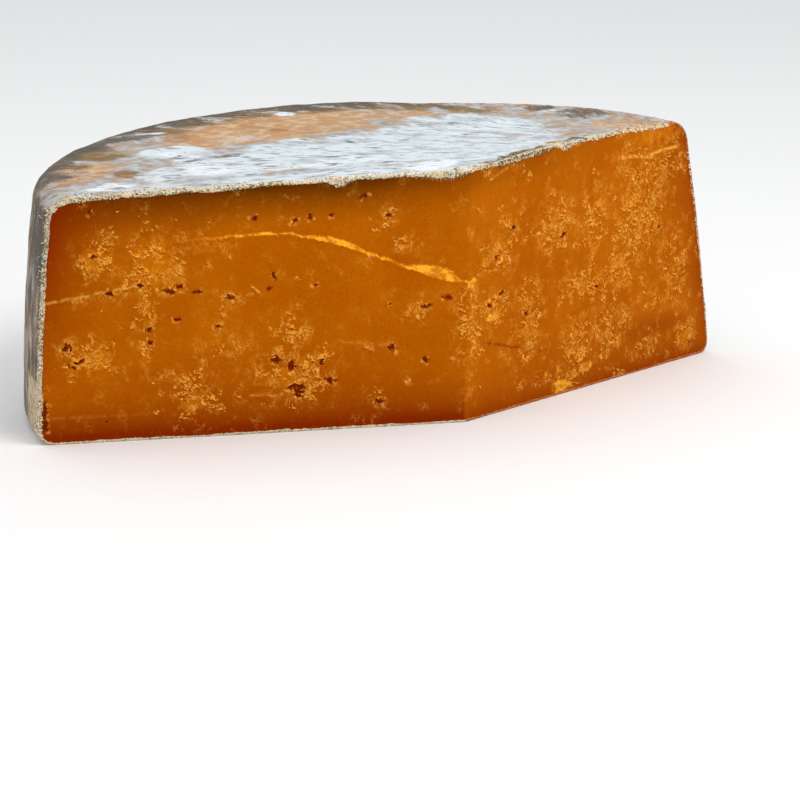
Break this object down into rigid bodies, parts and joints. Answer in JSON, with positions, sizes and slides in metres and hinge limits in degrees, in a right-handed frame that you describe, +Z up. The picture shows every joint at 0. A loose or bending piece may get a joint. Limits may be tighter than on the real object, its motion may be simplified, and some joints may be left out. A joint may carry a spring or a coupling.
{
  "type": "cheddar wedge",
  "caption": "Large wedge of aged orange cheddar cut from a flat clothbound wheel, with crumbly cut faces and a mould-bloomed rind; rests on its flat base.",
  "frame": {"origin": "middle of the bounding box's underside, on the flat base that the wedge rests on", "axes": "+Z up through the height; +X along the long way between the two cut ends; -Y towards the blunt tip where the two cut faces meet, +Y towards the round back of the wheel"},
  "size_m": [0.3842, 0.231, 0.13],
  "materials": {
    "paste": "deep orange, firm, slightly oily cheese paste with crumbly cracks, small pits and paler torn flecks",
    "rind": "dry clothbound rind, brushed bluish-white mould over tan, with olive and grey patches"
  },
  "bodies": {
    "root": {"wedge": "paste"}
  },
  "joints": []
}
